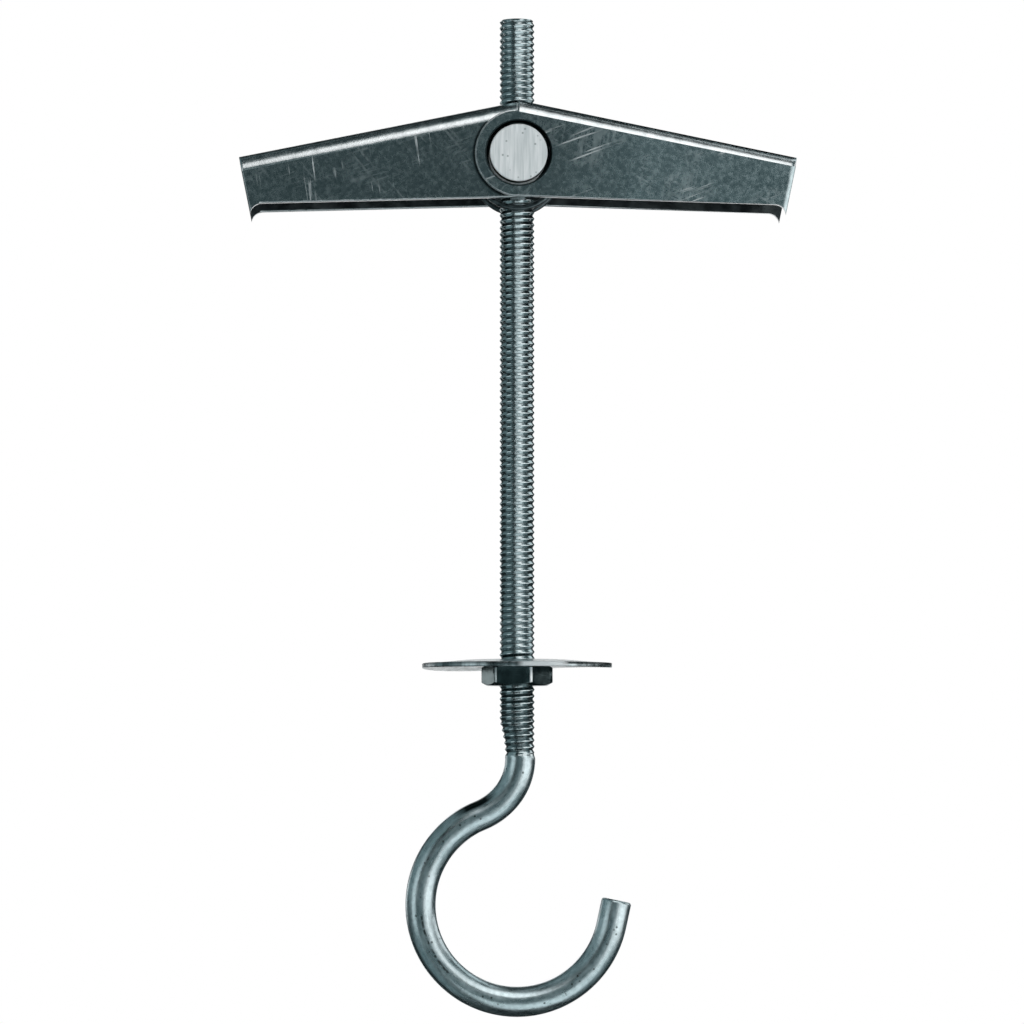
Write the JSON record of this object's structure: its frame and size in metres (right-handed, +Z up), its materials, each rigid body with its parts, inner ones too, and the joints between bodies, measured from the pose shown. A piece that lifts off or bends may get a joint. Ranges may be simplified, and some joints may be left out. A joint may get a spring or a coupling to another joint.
{
  "type": "toggle anchor",
  "caption": "Spring toggle anchor: a threaded rod bent into an open ceiling hook, with sprung folding wings on a cross pin, a large washer and a thin nut.",
  "frame": {"origin": "on the rod's axis, in the upper face of the washer, where it bears on the ceiling", "axes": "+Z up along the rod, away from the hook; +X towards the open side of the hook, in the plane of the hook and the wings"},
  "size_m": [0.062, 0.021, 0.111],
  "materials": {
    "rod_steel": "zinc plated, satin",
    "washer_steel": "zinc plated, bright",
    "nut_steel": "zinc plated, bright",
    "pin_steel": "turned and zinc plated",
    "wing_steel": "stamped sheet, zinc plated",
    "spring_steel": "drawn spring wire"
  },
  "bodies": {
    "rod": {"hook_rod": "rod_steel"},
    "toggle": {"trunnion": "pin_steel", "torsion_spring": "spring_steel"},
    "left_wing": {"wing_left": "wing_steel"},
    "right_wing": {"wing_right": "wing_steel"},
    "washer": {"washer": "washer_steel"},
    "nut": {"hex_nut": "nut_steel"}
  },
  "joints": [
    {"name": "toggle_travel", "type": "slide", "parent": "rod", "child": "toggle", "axis": [0, 0, 1], "range_m": [-0.012, 0.012]},
    {"name": "left_wing_fold", "type": "hinge", "parent": "toggle", "child": "left_wing", "pos_m": [0, 0, 0.05595], "axis": [0, -1, 0], "range_deg": [0, 80], "stiffness_Nm_per_rad": 0.02, "springref_deg": -40.11, "deforming": ["torsion_spring"]},
    {"name": "right_wing_fold", "type": "hinge", "parent": "toggle", "child": "right_wing", "pos_m": [0, 0, 0.05595], "axis": [0, 1, 0], "range_deg": [0, 80], "stiffness_Nm_per_rad": 0.02, "springref_deg": -40.11, "deforming": ["torsion_spring"]},
    {"name": "washer_lift", "type": "slide", "parent": "rod", "child": "washer", "axis": [0, 0, 1], "range_m": [-0.007, 0.0105]},
    {"name": "nut_spin", "type": "hinge", "parent": "washer", "child": "nut", "pos_m": [0, 0, -0.00175], "axis": [0, 0, 1], "range_deg": [-3601, 5401]}
  ],
  "couplings": [
    {"joint": "nut_spin", "follows": "washer_lift", "rad_per_m": 8976}
  ]
}
